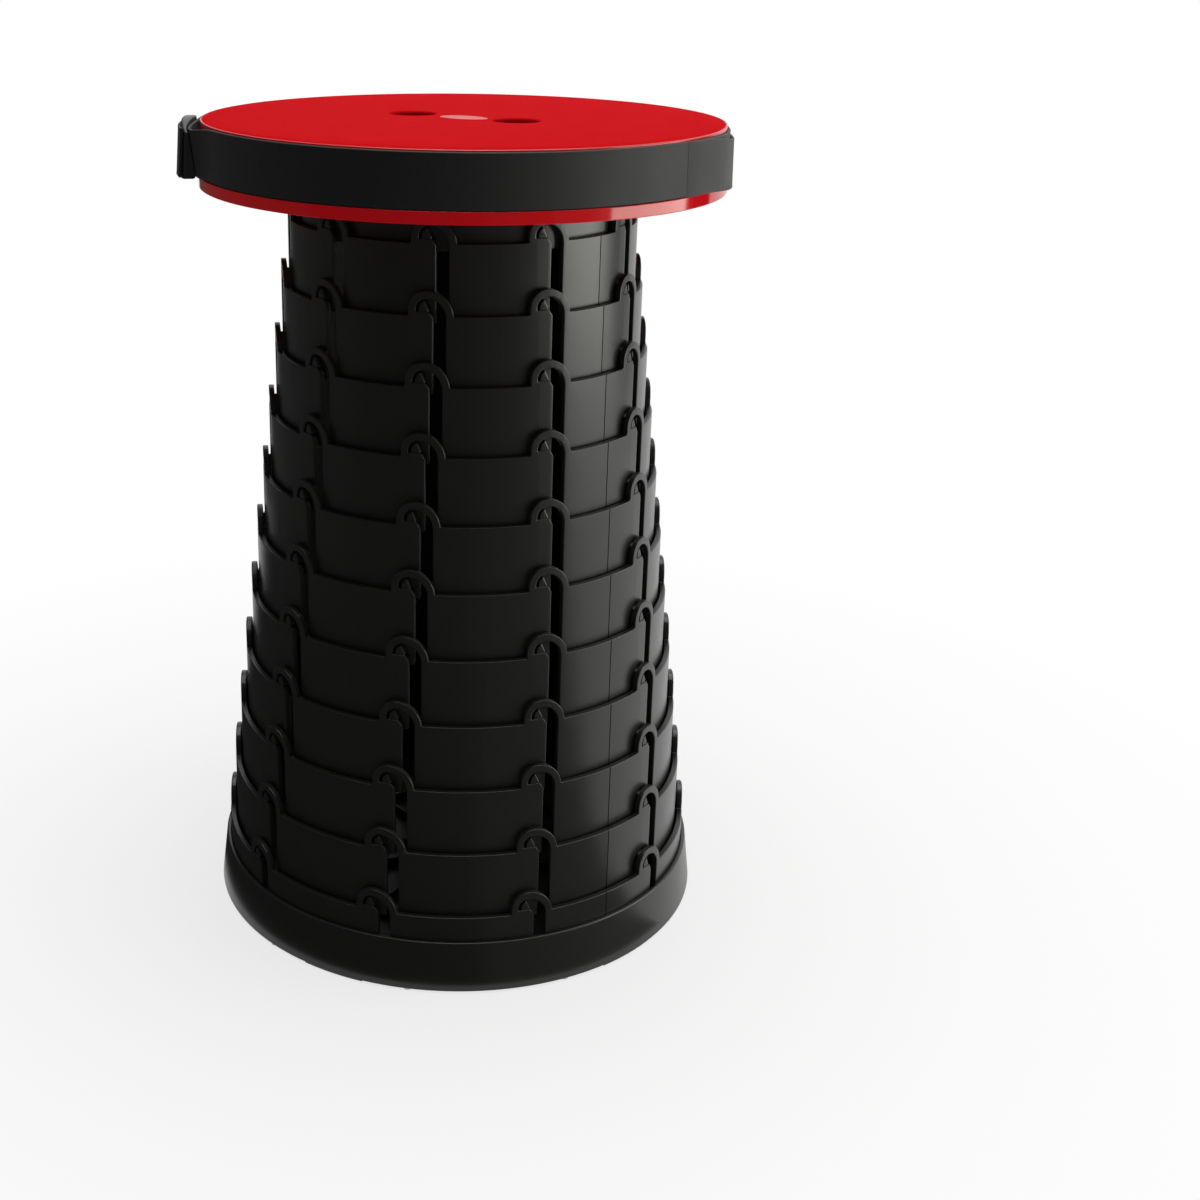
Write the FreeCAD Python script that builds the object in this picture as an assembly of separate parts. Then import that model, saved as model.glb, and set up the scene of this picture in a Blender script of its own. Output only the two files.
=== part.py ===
import FreeCAD, Part
import math
import os

# Collapsible stool of nested tube sections, standing on its foot at full height.
# Millimetres, +Z up, origin at the middle of the foot's underside.
# Angles are measured round the Z axis from -Y, the front, and grow towards +X.

# Sections
sliding_sections = 10          # between the one under the seat and the one in the foot
section_height = 53.0          # from a section's bottom edge to the tops of its hooks
section_wall = 2.8
section_gap = 1.4              # radial room between one section and the next
inner_section_radius = 90.9    # outside of the section under the seat

# Hooks and open slots round the top of each section, seen flat from outside
hook_count = 10
hook_rise = 12.8               # height of a hook above the panels between hooks
hook_band = 4.0                # width of the arched band
hook_arch = 14.0               # outside radius of the long side of the arch
hook_crown = 9.5               # outside radius of the short side of the arch
slot_width = 6.6
tongue_rise = 2.2              # height of the tongue's top above the panels
tongue_chamfer = 2.2
front_slot_azimuth = 30.1      # degrees, slot of the topmost sliding section
slot_twist = 0.45              # degrees that each lower section is turned back
slot_twist_growth = 0.06       # degrees, growing with the square of the section's number

# Lugs round the foot of each inner section, which rest in the hooks
lug_width = 5.3
lug_height = 5.6
lug_toe = 0.8                  # height of the lug's low side, next to the slot
lug_lift = 7.1                 # height of a lug's underside above its section's bottom edge
lug_side_gap = 1.3             # between a lug and the closed side of its hook
lug_reach = 1.6                # how far a lug enters the wall around it
lug_clearance = 0.3
channel_side_clearance = 0.5
lug_root = 0.4                 # how far a lug starts inside its own section's wall

# Seat
lid_thickness = 3.2
lid_shoulder_width = 7.0       # slope round the rim of the lid's top
lid_shoulder_drop = 0.8
lid_edge_round = 0.4
nest_clearance = 0.3           # under the sections when they are pushed down
lid_clearance = 0.4            # over the hooks when they are pushed down
skirt_wall = 2.4
skirt_clearance = 0.5          # round the largest section
lip_height = 6.35
lip_wall = 1.4
lip_clearance = 0.4            # round the foot's rim
rim_clearance = 0.35           # over the foot's rim
finger_hole_diameter = 25.0
finger_hole_spacing = 64.0
finger_hole_azimuth = 60.0     # degrees, direction of the right hole from the middle
finger_hole_round = 1.3
collar_wall = 2.2
collar_depth = 8.0
rib_count = 10
rib_thickness = 1.6
rib_depth = 5.0
rib_hub_gap = 5.3              # between the hub's ring and the finger holes' collars
rib_end_gap = 1.5

# Fixing of the section under the seat
boss_count = 5
boss_circle_inset = 9.0
boss_diameter = 8.0
boss_height = 6.0
flange_width = 15.0
flange_thickness = 3.0
seat_screw_shank = 3.0
seat_screw_head = 6.4
seat_screw_head_height = 2.2
seat_screw_length = 8.0
screw_hole_clearance = 0.2
screw_recess_width = 0.7

# Carrying strap round the seat
strap_width = 27.0
strap_drop = 1.5               # from the lid's flat top to the strap's upper edge
strap_thickness = 1.5
strap_clearance = 0.15
strap_free_layer = 1.4
slider_azimuth = -81.0         # degrees
slider_length = 34.0
slider_height = 30.6
slider_depth = 10.0
slider_edge_round = 1.6
slider_tunnel_wall = 1.6
slider_tunnel_clearance = 0.3  # over and under the strap
slider_window = 6.5
slider_bar = 4.0
tail_end_azimuth = 52.5        # degrees, where the strap's loose end lies

# Foot
foot_rim_wall = 2.35
foot_section_clearance = 0.15
foot_flare = 3.3               # how much wider the foot is at its bottom edge
foot_hoop_thickness = 1.5      # height of the lowest section's clamped hoop
foot_hoop_width = 1.6
floor_thickness = 1.5
floor_rib_count = 10
floor_rib_height = 5.0
floor_rib_inset = 7.2          # from the innermost section's wall to the floor's ribs
pad_height = 1.2
pad_count = 5
pad_width = 8.0
pad_arc = 15.0                 # degrees
pad_azimuth = -28.5            # degrees, middle of the first pad
centre_pad_diameter = 44.0
foot_screw_shank = 2.2
foot_screw_head = 4.4
foot_screw_head_height = 0.9
foot_screw_length = 7.0

# Sizes that follow
lug_bottom = tongue_rise + lug_clearance
section_travel = section_height - hook_rise + lug_bottom - lug_lift
radial_pitch = section_wall + section_gap
joint_count = sliding_sections + 1
outer_section_radius = inner_section_radius + joint_count * radial_pitch
floor_top = pad_height + floor_thickness
nest_bottom = floor_top + nest_clearance
panel_top = nest_bottom + section_height - hook_rise
lid_bottom_collapsed = nest_bottom + section_height + lid_clearance
full_travel = joint_count * section_travel
lid_bottom = lid_bottom_collapsed + full_travel
seat_top = lid_bottom + lid_thickness
skirt_inner = outer_section_radius + skirt_clearance
skirt_outer = skirt_inner + skirt_wall
strap_inner = skirt_outer + strap_clearance
strap_outer_radius = strap_inner + strap_thickness
lid_radius = skirt_outer
lip_top = seat_top - strap_drop - strap_width - strap_clearance
lip_bottom = lip_top - lip_height
foot_inner = outer_section_radius + foot_section_clearance
foot_rim_radius = foot_inner + foot_rim_wall
foot_height = lip_top - lip_wall - full_travel - rim_clearance
foot_bottom_radius = foot_rim_radius + foot_flare
foot_step_radius = foot_bottom_radius - foot_rim_wall / 2
hoop_pocket_radius = outer_section_radius + foot_hoop_width + foot_section_clearance
foot_screw_circle = (hoop_pocket_radius + foot_step_radius) / 2
foot_screw_azimuth = pad_azimuth + 180.0 / hook_count
lip_overlap = lip_height - lip_wall - rim_clearance
lip_inner = foot_rim_radius + foot_flare * lip_overlap / foot_height + lip_clearance
lip_outer = lip_inner + lip_wall
inner_wall_radius = inner_section_radius - section_wall
boss_circle = inner_wall_radius - boss_circle_inset
rib_hub_radius = (finger_hole_spacing + finger_hole_diameter) / 2 + collar_wall + rib_hub_gap
floor_rib_radius = inner_wall_radius - floor_rib_inset
arch_centre = (slot_width / 2 + hook_band - hook_arch, hook_rise - hook_arch)
crown_centre = (arch_centre[0], hook_rise - hook_crown)
pocket_left = arch_centre[0] - hook_crown + hook_band
lug_left = pocket_left + lug_side_gap
strap_middle = lip_top + strap_clearance + strap_width / 2

UP = FreeCAD.Vector(0, 0, 1)
ORIGIN = FreeCAD.Vector(0, 0, 0)
SPARE = 1.0                    # how far a cutting tool runs past what it cuts


def turned(shape, azimuth):
    copy = shape.copy()
    copy.rotate(ORIGIN, UP, azimuth)
    return copy


def direction(azimuth):
    angle = math.radians(azimuth)
    return FreeCAD.Vector(math.sin(angle), -math.cos(angle), 0)


def tube(inner, outer, low, high, seam=90.0):
    """Upright tube, with its faces' seam at the given azimuth."""
    foot = FreeCAD.Vector(0, 0, low)
    solid = Part.makeCylinder(outer, high - low, foot)
    if inner > 0:
        deep = FreeCAD.Vector(0, 0, low - SPARE)
        solid = solid.cut(Part.makeCylinder(inner, high - low + 2 * SPARE, deep))
    return turned(solid, seam - 90.0)


def turned_profile(points):
    corners = [FreeCAD.Vector(r, 0, z) for r, z in points]
    face = Part.Face(Part.makePolygon(corners + corners[:1]))
    return face.revolve(ORIGIN, UP, 360)


def arc(centre, radius, start, end):
    """Arc from one angle to another, in degrees, in the flat outline's plane."""
    def point(angle):
        turn = math.radians(angle)
        return (centre[0] + radius * math.cos(turn), centre[1] + radius * math.sin(turn))
    return [point(start), point((start + end) / 2), point(end)]


def outline_edges(parts):
    """Edges through a list of points and three-point arcs, closed at the end."""
    edges = []
    first = parts[0][0] if len(parts[0]) == 3 else parts[0]
    last = None
    for item in parts:
        start = item[0] if len(item) == 3 else item
        if last is not None and math.dist(last, start) > 1e-6:
            edges.append(Part.LineSegment(at_front(last), at_front(start)).toShape())
        if len(item) == 3:
            edges.append(Part.Arc(*[at_front(p) for p in item]).toShape())
            last = item[2]
        else:
            last = item
    edges.append(Part.LineSegment(at_front(last), at_front(first)).toShape())
    return edges


def at_front(point):
    return FreeCAD.Vector(point[0], 0, point[1])


def radial_prism(parts, radius, base_height, azimuth, inner, outer):
    """Solid with a flat outline, standing across the wall from inner to outer radius.

    The outline's x is arc length at the given radius, so it is drawn about its own
    middle and turned to its place.
    """
    face = Part.Face(Part.Wire(outline_edges(parts)))
    middle = face.BoundBox.Center.x
    solid = face.extrude(FreeCAD.Vector(0, -(outer - inner), 0))
    solid.translate(FreeCAD.Vector(-middle, -inner, base_height))
    return turned(solid, azimuth + math.degrees(middle / radius))


def hook_outline():
    start = math.degrees(math.asin((-SPARE - arch_centre[1]) / hook_arch))
    long_side = arc(arch_centre, hook_arch, start, 90)
    short_side = arc(crown_centre, hook_crown, 90, 180)
    return [long_side, short_side, (short_side[2][0], -SPARE)]


def slot_outline(depth):
    half = slot_width / 2
    long_side = arc(arch_centre, hook_arch - hook_band, 0, 90)
    short_side = arc(crown_centre, hook_crown - hook_band, 90, 180)
    return [
        (half, -depth),
        long_side,
        short_side,
        (pocket_left, tongue_rise),
        (-half - tongue_chamfer, tongue_rise),
        (-half, -tongue_chamfer / 2),
        (-half, -depth),
    ]


def lug_outline():
    shoulder = lug_height / 2
    corner = (lug_left + shoulder, lug_bottom + lug_height - shoulder)
    rounded = arc(corner, shoulder, 180, 90)
    right = lug_left + lug_width
    return [
        (lug_left, lug_bottom),
        rounded,
        (right, lug_bottom + lug_toe),
        (right, lug_bottom),
    ]


def channel_outline(depth):
    left = lug_left - channel_side_clearance
    right = lug_left + lug_width + channel_side_clearance
    high = tongue_rise + channel_side_clearance
    return [(left, -depth), (left, high), (right, high), (right, -depth)]


def slot_azimuth(number):
    """Azimuth of the first slot; number 1 is the topmost sliding section."""
    step = number - 1
    return front_slot_azimuth - slot_twist * step - slot_twist_growth * step ** 2


def section_radius(number):
    return inner_section_radius + number * radial_pitch


def section_lift(number):
    """Height of a section above its place when the stool is pushed down."""
    return (joint_count - number) * section_travel


def around(make, count=hook_count):
    return [turned(make, 360.0 * index / count) for index in range(count)]


def hooked_wall(number, bottom):
    """Wall of a section with its hooks, slots and the channels behind its tongues."""
    outer = section_radius(number)
    inner = outer - section_wall
    top = panel_top + section_lift(number)
    azimuth = slot_azimuth(number)
    past = outer + SPARE
    depth = top - bottom + SPARE
    hook = radial_prism(hook_outline(), outer, top, azimuth, inner - SPARE, past)
    slot = radial_prism(slot_outline(depth), outer, top, azimuth, inner - SPARE, past)
    reach = inner + lug_reach + lug_clearance
    channel = radial_prism(channel_outline(depth), outer, top, azimuth, inner - SPARE, reach)
    seam = azimuth + 180.0 / hook_count
    crown = tube(inner, outer, top - SPARE, top + hook_rise, seam)
    hooks = crown.common(Part.makeCompound(around(hook)))
    wall = tube(inner, outer, bottom, top, seam).fuse(hooks.Solids)
    return wall.cut(around(slot) + around(channel))


def lugs(number):
    """Lugs of a section, lying in the hooks of the next one out."""
    outer = section_radius(number + 1)
    tip = outer - section_wall + lug_reach
    root = section_radius(number) - lug_root
    top = panel_top + section_lift(number + 1)
    azimuth = slot_azimuth(number + 1)
    lug = radial_prism(lug_outline(), outer, top, azimuth, root - SPARE, tip + SPARE)
    band = tube(root, tip, top, top + hook_rise, azimuth + 180.0 / hook_count)
    return band.common(Part.makeCompound(around(lug))).Solids


def sliding_section(number):
    bottom = nest_bottom + section_lift(number)
    return hooked_wall(number, bottom).fuse(lugs(number)).removeSplitter()


def outer_section():
    """Section that stays in the foot, held by a hoop round its bottom edge."""
    wall = hooked_wall(joint_count, floor_top)
    edge = outer_section_radius
    hoop = tube(edge - section_wall, edge + foot_hoop_width, floor_top, floor_top + foot_hoop_thickness)
    reach = edge - section_wall + lug_reach + lug_clearance
    inside = tube(edge - section_wall - SPARE, reach, floor_top - SPARE, nest_bottom)
    return wall.fuse(hoop.cut(inside)).removeSplitter()


def inner_section():
    """Section under the seat, with a flange that is screwed to the lid's bosses."""
    bottom = nest_bottom + section_lift(0)
    wall = tube(inner_wall_radius, inner_section_radius, bottom, lid_bottom)
    flange_top = lid_bottom - boss_height
    inner = inner_wall_radius - flange_width
    flange = tube(inner, inner_wall_radius + lug_root, flange_top - flange_thickness, flange_top)
    hole = Part.makeCylinder(
        seat_screw_shank / 2 + screw_hole_clearance,
        flange_thickness + 2 * SPARE,
        direction(0) * boss_circle + UP * (flange_top - flange_thickness - SPARE),
    )
    section = wall.fuse([flange] + lugs(0))
    return section.cut(around(hole, boss_count)).removeSplitter()


def finger_hole_places():
    along = direction(finger_hole_azimuth) * (finger_hole_spacing / 2)
    return [along, along * -1]


def lid_plate():
    """Round plate, flat on top with a gentle slope round its rim."""
    reach = lid_shoulder_width
    fall = lid_shoulder_drop
    bend = (reach ** 2 + fall ** 2) / (2 * fall)
    start = FreeCAD.Vector(lid_radius - reach, 0, seat_top)
    centre = start - UP * bend
    half_way = math.asin(reach / bend) / 2
    middle = centre + FreeCAD.Vector(math.sin(half_way), 0, math.cos(half_way)) * bend
    rim = FreeCAD.Vector(lid_radius, 0, seat_top - fall)
    low_rim = FreeCAD.Vector(lid_radius, 0, lid_bottom)
    outline = [
        Part.LineSegment(UP * lid_bottom, UP * seat_top).toShape(),
        Part.LineSegment(UP * seat_top, start).toShape(),
        Part.Arc(start, middle, rim).toShape(),
        Part.LineSegment(rim, low_rim).toShape(),
        Part.LineSegment(low_rim, UP * lid_bottom).toShape(),
    ]
    plate = Part.Face(Part.Wire(outline)).revolve(ORIGIN, UP, 360)
    rims = [edge for edge in plate.Edges if edge.Closed and abs(edge.BoundBox.ZMin - rim.z) < 0.01]
    edges = [edge for edge in rims if abs(edge.BoundBox.ZMax - rim.z) < 0.01]
    return plate.makeFillet(lid_edge_round, edges)


def seat_lid():
    """Round seat panel with two finger holes, ribs and screw bosses."""
    lid = lid_plate()
    hole_radius = finger_hole_diameter / 2
    collars = []
    holes = []
    for place in finger_hole_places():
        low = place + UP * (lid_bottom - collar_depth)
        collars.append(Part.makeCylinder(hole_radius + collar_wall, collar_depth + SPARE, low))
        length = collar_depth + lid_thickness + 2 * SPARE
        holes.append(Part.makeCylinder(hole_radius, length, low - UP * SPARE))
        mouth = place + UP * (seat_top - finger_hole_round)
        wide = hole_radius + finger_hole_round
        holes.append(rounded_mouth(mouth, hole_radius, wide))
    rib_end = inner_wall_radius - rib_end_gap
    hub = tube(rib_hub_radius, rib_hub_radius + rib_thickness, lid_bottom - rib_depth, lid_bottom + SPARE)
    rib = Part.makeBox(
        rib_thickness,
        rib_end - rib_hub_radius - rib_thickness / 2,
        rib_depth + SPARE,
        FreeCAD.Vector(-rib_thickness / 2, -rib_end, lid_bottom - rib_depth),
    )
    half_step = 180.0 / rib_count
    ribs = [turned(one, half_step) for one in around(rib, rib_count)]
    boss = Part.makeCylinder(
        boss_diameter / 2,
        boss_height + SPARE,
        direction(0) * boss_circle + UP * (lid_bottom - boss_height),
    )
    lid = lid.fuse(collars + [hub] + ribs + around(boss, boss_count))
    pilots = around(seat_screw_pilot(), boss_count)
    return lid.cut(holes + pilots).removeSplitter()


def rounded_mouth(place, inner, outer):
    """Tool that rounds a hole's upper edge, as a ring cut to a quarter circle."""
    reach = outer - inner
    blank = Part.makeCylinder(outer, reach + SPARE, place)
    core = Part.makeTorus(outer, reach)
    core.translate(place)
    return blank.cut(core)


def seat_screw_pilot():
    """Hole in a boss, as wide as the screw and as deep as it reaches."""
    low = lid_bottom - boss_height - SPARE
    deep = seat_screw_length - flange_thickness + SPARE
    return Part.makeCylinder(seat_screw_shank / 2, deep, direction(0) * boss_circle + UP * low)


def screw(place, shank, length, head, head_height):
    """Screw driven upwards from its head's top face, with a cross recess."""
    body = Part.makeCylinder(shank / 2, length, place)
    cap = Part.makeCylinder(head / 2, head_height, place - UP * head_height)
    both = body.fuse(cap)
    wide = head / 2
    narrow = screw_recess_width
    low = place - UP * (head_height + SPARE)
    recess = SPARE + head_height / 2
    for size_x, size_y in ((wide, narrow), (narrow, wide)):
        corner = low - FreeCAD.Vector(size_x / 2, size_y / 2, 0)
        both = both.cut(Part.makeBox(size_x, size_y, recess, corner))
    return both.removeSplitter()


def seat_screws():
    height = lid_bottom - boss_height - flange_thickness
    place = direction(0) * boss_circle + UP * height
    one = screw(place, seat_screw_shank, seat_screw_length, seat_screw_head, seat_screw_head_height)
    return Part.makeCompound(around(one, boss_count))


def seat_skirt():
    """Wall behind the strap, with the lip below it."""
    web = lip_top - lip_wall
    return turned_profile([
        (skirt_inner, web),
        (skirt_inner, lid_bottom),
        (skirt_outer, lid_bottom),
        (skirt_outer, lip_top),
        (lip_outer, lip_top),
        (lip_outer, lip_bottom),
        (lip_inner, lip_bottom),
        (lip_inner, web),
    ])


def carry_strap():
    low = lip_top + strap_clearance
    return tube(strap_inner, strap_outer_radius, low, low + strap_width)


def tail_route():
    """Middle line of the strap's loose layer, as azimuth and distance from its bed.

    It leaves the slider, stands off in a slack bight behind it, then goes round the
    back of the seat to its end.
    """
    return [
        (slider_azimuth - 2.0, 4.2),
        (slider_azimuth - 9.0, 5.0),
        (slider_azimuth - 28.0, 9.4),
        (slider_azimuth - 42.0, 12.1),
        (slider_azimuth - 56.0, 7.5),
        (slider_azimuth - 70.0, 2.6),
        (slider_azimuth - 86.0, 1.5),
        (slider_azimuth - 114.0, 1.3),
        (slider_azimuth - 146.0, 1.5),
        (tail_end_azimuth - 322.0, 1.8),
        (tail_end_azimuth - 338.0, 1.8),
        (tail_end_azimuth - 350.0, 1.1),
        (tail_end_azimuth - 360.0, 0.85),
    ]


def strap_tail():
    low = lip_top + strap_clearance
    sides = []
    for side in (-0.5, 0.5):
        points = []
        for azimuth, stand_off in tail_route():
            radius = strap_outer_radius + stand_off + side * strap_free_layer
            points.append(direction(azimuth) * radius + UP * low)
        curve = Part.BSplineCurve()
        curve.interpolate(points)
        sides.append((curve.toShape(), points))
    (inner, inner_points), (outer, outer_points) = sides
    ends = [
        Part.LineSegment(inner_points[0], outer_points[0]).toShape(),
        Part.LineSegment(inner_points[-1], outer_points[-1]).toShape(),
    ]
    wire = Part.Wire(Part.__sortEdges__([inner, ends[1], outer, ends[0]]))
    return Part.Face(wire).extrude(UP * strap_width)


def strap_slider():
    """Moulded slider with a tunnel for the strap and a bar across two windows."""
    inner = lip_outer + strap_clearance
    outer = inner + slider_depth
    low = strap_middle - slider_height / 2
    block = Part.makeBox(
        slider_length,
        slider_depth,
        slider_height,
        FreeCAD.Vector(-slider_length / 2, -outer, low),
    )
    corners = [edge for edge in block.Edges if edge.BoundBox.YMax < -outer + SPARE / 2]
    block = block.makeFillet(slider_edge_round, corners)
    bed = Part.makeCylinder(inner, slider_height + 2 * SPARE, UP * (low - SPARE))
    tunnel_height = strap_width + 2 * slider_tunnel_clearance
    tunnel_low = strap_middle - tunnel_height / 2
    tunnel = tube(
        inner + slider_tunnel_wall,
        outer - slider_tunnel_wall - strap_free_layer,
        tunnel_low,
        tunnel_low + tunnel_height,
    )
    windows = []
    for side in (-1, 1):
        middle = side * (slider_bar + slider_window) / 2
        windows.append(Part.makeBox(
            slider_window,
            slider_depth,
            tunnel_height,
            FreeCAD.Vector(middle - slider_window / 2, -outer - SPARE, tunnel_low),
        ).cut(Part.makeCylinder(inner + slider_tunnel_wall, slider_height, UP * low)))
    body = block.cut([bed, tunnel] + windows).removeSplitter()
    return turned(body, slider_azimuth)


def foot_ring():
    """Plain wall of the foot, wider at the bottom, over the outer section's hoop."""
    hoop_top = floor_top + foot_hoop_thickness
    ring = turned_profile([
        (foot_inner, hoop_top),
        (foot_inner, foot_height),
        (foot_rim_radius, foot_height),
        (foot_bottom_radius, pad_height),
        (foot_step_radius, pad_height),
        (foot_step_radius, floor_top),
        (hoop_pocket_radius, floor_top),
        (hoop_pocket_radius, hoop_top),
    ])
    hole = foot_screw_hole(foot_screw_shank / 2, foot_screw_length)
    return ring.cut(around(hole, hook_count))


def foot_screw_place():
    return direction(foot_screw_azimuth) * foot_screw_circle + UP * pad_height


def foot_screw_hole(radius, depth):
    return Part.makeCylinder(radius, depth + SPARE, foot_screw_place() - UP * SPARE)


def floor_plate():
    """Floor that the sections come to rest on, with a ribbed middle."""
    plate = tube(0, foot_step_radius, pad_height, floor_top)
    hoop = tube(floor_rib_radius - rib_thickness, floor_rib_radius, floor_top, floor_top + floor_rib_height)
    hub_radius = centre_pad_diameter / 2
    hub = tube(hub_radius - rib_thickness, hub_radius, floor_top, floor_top + floor_rib_height)
    rib = Part.makeBox(
        rib_thickness,
        floor_rib_radius - hub_radius,
        floor_rib_height,
        FreeCAD.Vector(-rib_thickness / 2, -floor_rib_radius + rib_thickness / 2, floor_top),
    )
    plate = plate.fuse([hoop, hub] + around(rib, floor_rib_count))
    hole = foot_screw_hole(foot_screw_shank / 2 + screw_hole_clearance, floor_thickness + SPARE)
    return plate.cut(around(hole, hook_count)).removeSplitter()


def foot_screws():
    one = screw(
        foot_screw_place(),
        foot_screw_shank,
        foot_screw_length,
        foot_screw_head,
        foot_screw_head_height,
    )
    return Part.makeCompound(around(one, hook_count))


def foot_pads():
    """Anti-slip pads round the foot and one in its middle."""
    band = tube(foot_step_radius - pad_width, foot_step_radius, 0, pad_height)
    half = math.radians(pad_arc / 2)
    reach = foot_step_radius + SPARE
    wedge = Part.Face(Part.makePolygon([
        ORIGIN,
        FreeCAD.Vector(-reach * math.tan(half), -reach, 0),
        FreeCAD.Vector(reach * math.tan(half), -reach, 0),
        ORIGIN,
    ])).extrude(UP * pad_height)
    pad = turned(band.common(wedge), pad_azimuth)
    centre = Part.makeCylinder(centre_pad_diameter / 2, pad_height)
    return Part.makeCompound([centre] + around(pad, pad_count))


def build():
    parts = {
        "seat_lid": seat_lid(),
        "seat_skirt": seat_skirt(),
        "seat_screws": seat_screws(),
        "carry_strap": carry_strap(),
        "strap_tail": strap_tail(),
        "strap_slider": strap_slider(),
        "inner_section": inner_section(),
        "outer_section": outer_section(),
        "foot_ring": foot_ring(),
        "floor_plate": floor_plate(),
        "foot_screws": foot_screws(),
        "foot_pads": foot_pads(),
    }
    for number in range(1, sliding_sections + 1):
        parts[f"section_{number:02d}"] = sliding_section(number)
    return parts


os.makedirs("parts", exist_ok=True)
for node, shape in build().items():
    shape.exportStep(f"parts/{node}.step")
    volume = shape.Volume / 1000.0
    box = shape.BoundBox
    print(f"{node}: {len(shape.Solids)} solid(s), {volume:.1f} cm3, z {box.ZMin:.2f} to {box.ZMax:.2f}, "
          f"x {box.XMin:.1f} to {box.XMax:.1f}, y {box.YMin:.1f} to {box.YMax:.1f}, valid {shape.isValid()}")
print(f"height {seat_top:.2f}, pushed down {seat_top - full_travel:.2f}, seat radius {lid_radius:.2f}")
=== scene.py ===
import math

import bmesh
import bpy
from mathutils import Matrix, Vector
from mathutils.geometry import tessellate_polygon

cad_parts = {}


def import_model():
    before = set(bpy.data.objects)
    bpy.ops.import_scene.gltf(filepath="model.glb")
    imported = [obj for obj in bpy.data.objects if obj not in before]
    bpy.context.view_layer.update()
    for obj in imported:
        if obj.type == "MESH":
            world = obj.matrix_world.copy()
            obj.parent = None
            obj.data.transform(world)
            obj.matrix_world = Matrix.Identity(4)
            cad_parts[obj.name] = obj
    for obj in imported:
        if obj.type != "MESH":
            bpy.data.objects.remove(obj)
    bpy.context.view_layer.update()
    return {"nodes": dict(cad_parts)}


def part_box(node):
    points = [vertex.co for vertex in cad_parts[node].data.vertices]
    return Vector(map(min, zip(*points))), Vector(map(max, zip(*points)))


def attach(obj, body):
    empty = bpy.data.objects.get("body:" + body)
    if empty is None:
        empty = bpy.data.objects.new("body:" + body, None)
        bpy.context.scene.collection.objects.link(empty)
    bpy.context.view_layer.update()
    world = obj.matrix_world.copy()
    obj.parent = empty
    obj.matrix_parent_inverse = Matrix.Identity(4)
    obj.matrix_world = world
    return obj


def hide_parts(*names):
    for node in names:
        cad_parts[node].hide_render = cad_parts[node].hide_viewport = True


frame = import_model()

# Lengths of the stool are in millimetres and become metres when a piece is made.
# Lengths of the studio, and the depths that shaders use, are in metres.
# Angles are in degrees, round the Z axis from -Y, the front, growing towards +X.
MM = 0.001

# Sections
sliding_sections = 10
section_wall = 2.8
section_gap = 1.4
inner_section_radius = 90.9
hook_count = 10
hook_rise = 12.8
hook_band = 4.0
hook_arch = 14.0
hook_crown = 9.5
slot_width = 6.6
tongue_rise = 2.2
tongue_chamfer = 2.2
front_slot_azimuth = 30.1
slot_twist = 0.45
slot_twist_growth = 0.06
lug_width = 5.3
lug_height = 5.85
lug_toe = 0.8
lug_side_gap = 1.3
lug_reach = 2.3
lug_clearance = 0.2
lug_rest_gap = 0.06            # between a lug and the tongue that it rests on
lug_root = 0.4
channel_side_clearance = 0.5
edge_round = 0.65
top_edge_share = 0.5           # of that rounding, on edges that face up
lug_round = 0.95
lug_toe_round = 0.4
lug_side_round = 1.5
lug_left_share = 0.4
corner_round = 0.7
corner_reach = 0.45            # most of a side that the rounding of its corner takes
mould_line_width = 0.35
mould_line_depth = 0.45
mould_lines = (0, 5)           # panels with a parting line of the mould
wrap_step = 2.4                # degrees between the upright cuts that let a wall bend

# Seat
lid_polish_radius = 139.3      # where its grained top turns into the polished edge
lid_polish_blend = 0.3
skirt_wall = 2.4
skirt_clearance = 0.5
lip_wall = 1.4
lip_inner_round = 0.3
lip_outer_round = 0.5
lip_clearance = 0.4
lip_overlap = 4.6
strap_width = 27.0
strap_drop = 1.5               # from the lid's flat top to the strap's upper edge
strap_thickness = 1.5
strap_free_layer = 1.4
strap_clearance = 0.15
selvedge = 0.1                 # how far the strap's woven edges stand proud
selvedge_width = 1.5
strap_slack = 0.05             # between the strap and its bed
strap_ripples = ((7, 0.06), (17, 0.05))   # waves round the seat, and how high each is
tail_end_share = 0.05          # of the loose layer's thickness, at its cut end
tail_end_growth = 0.12         # and how much more per mm from there
slider_azimuth = -81.0
slider_length = 34.0
slider_height = 29.8
slider_far = 7.0               # its thickness at both ends, and how much more in its middle
slider_near = 8.3
slider_bulge = 0.8
slider_round = 1.2
slider_lean = 1.8              # how far its lower edge stands out
slider_brow = 5.2              # how far its top falls towards the front
slider_brow_start = 0.55       # how far behind its middle that begins, in half lengths
slider_brow_power = 1.6
slider_end_power = 12          # the higher, the blunter its ends
slider_end_thinning = 0.2
slider_end_round = 0.8
tail_end_azimuth = 50.8
inlay_length = 27.5
inlay_width = 17.0
inlay_rise = 0.3
inlay_place = (0.0, -6.0)
finger_hole_azimuth = 60.0

# Foot
foot_section_clearance = 0.15
foot_rim_wall = 2.35
foot_flare = 3.3
foot_hoop_width = 1.6
foot_hoop_thickness = 1.5
foot_bottom_round = 0.8
foot_rim_round = 1.0
foot_inner_round = 0.5
floor_top = 2.7

# Camera, from the photo: 1200 by 1200 pixels
photo_size = 1200.0
focal_pixels = 1715.09
axis_pixel = (459.46, 517.04)
camera_distance = 938.56
camera_height = 547.51
camera_tilt = 19.0
camera_roll = 0.62

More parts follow.
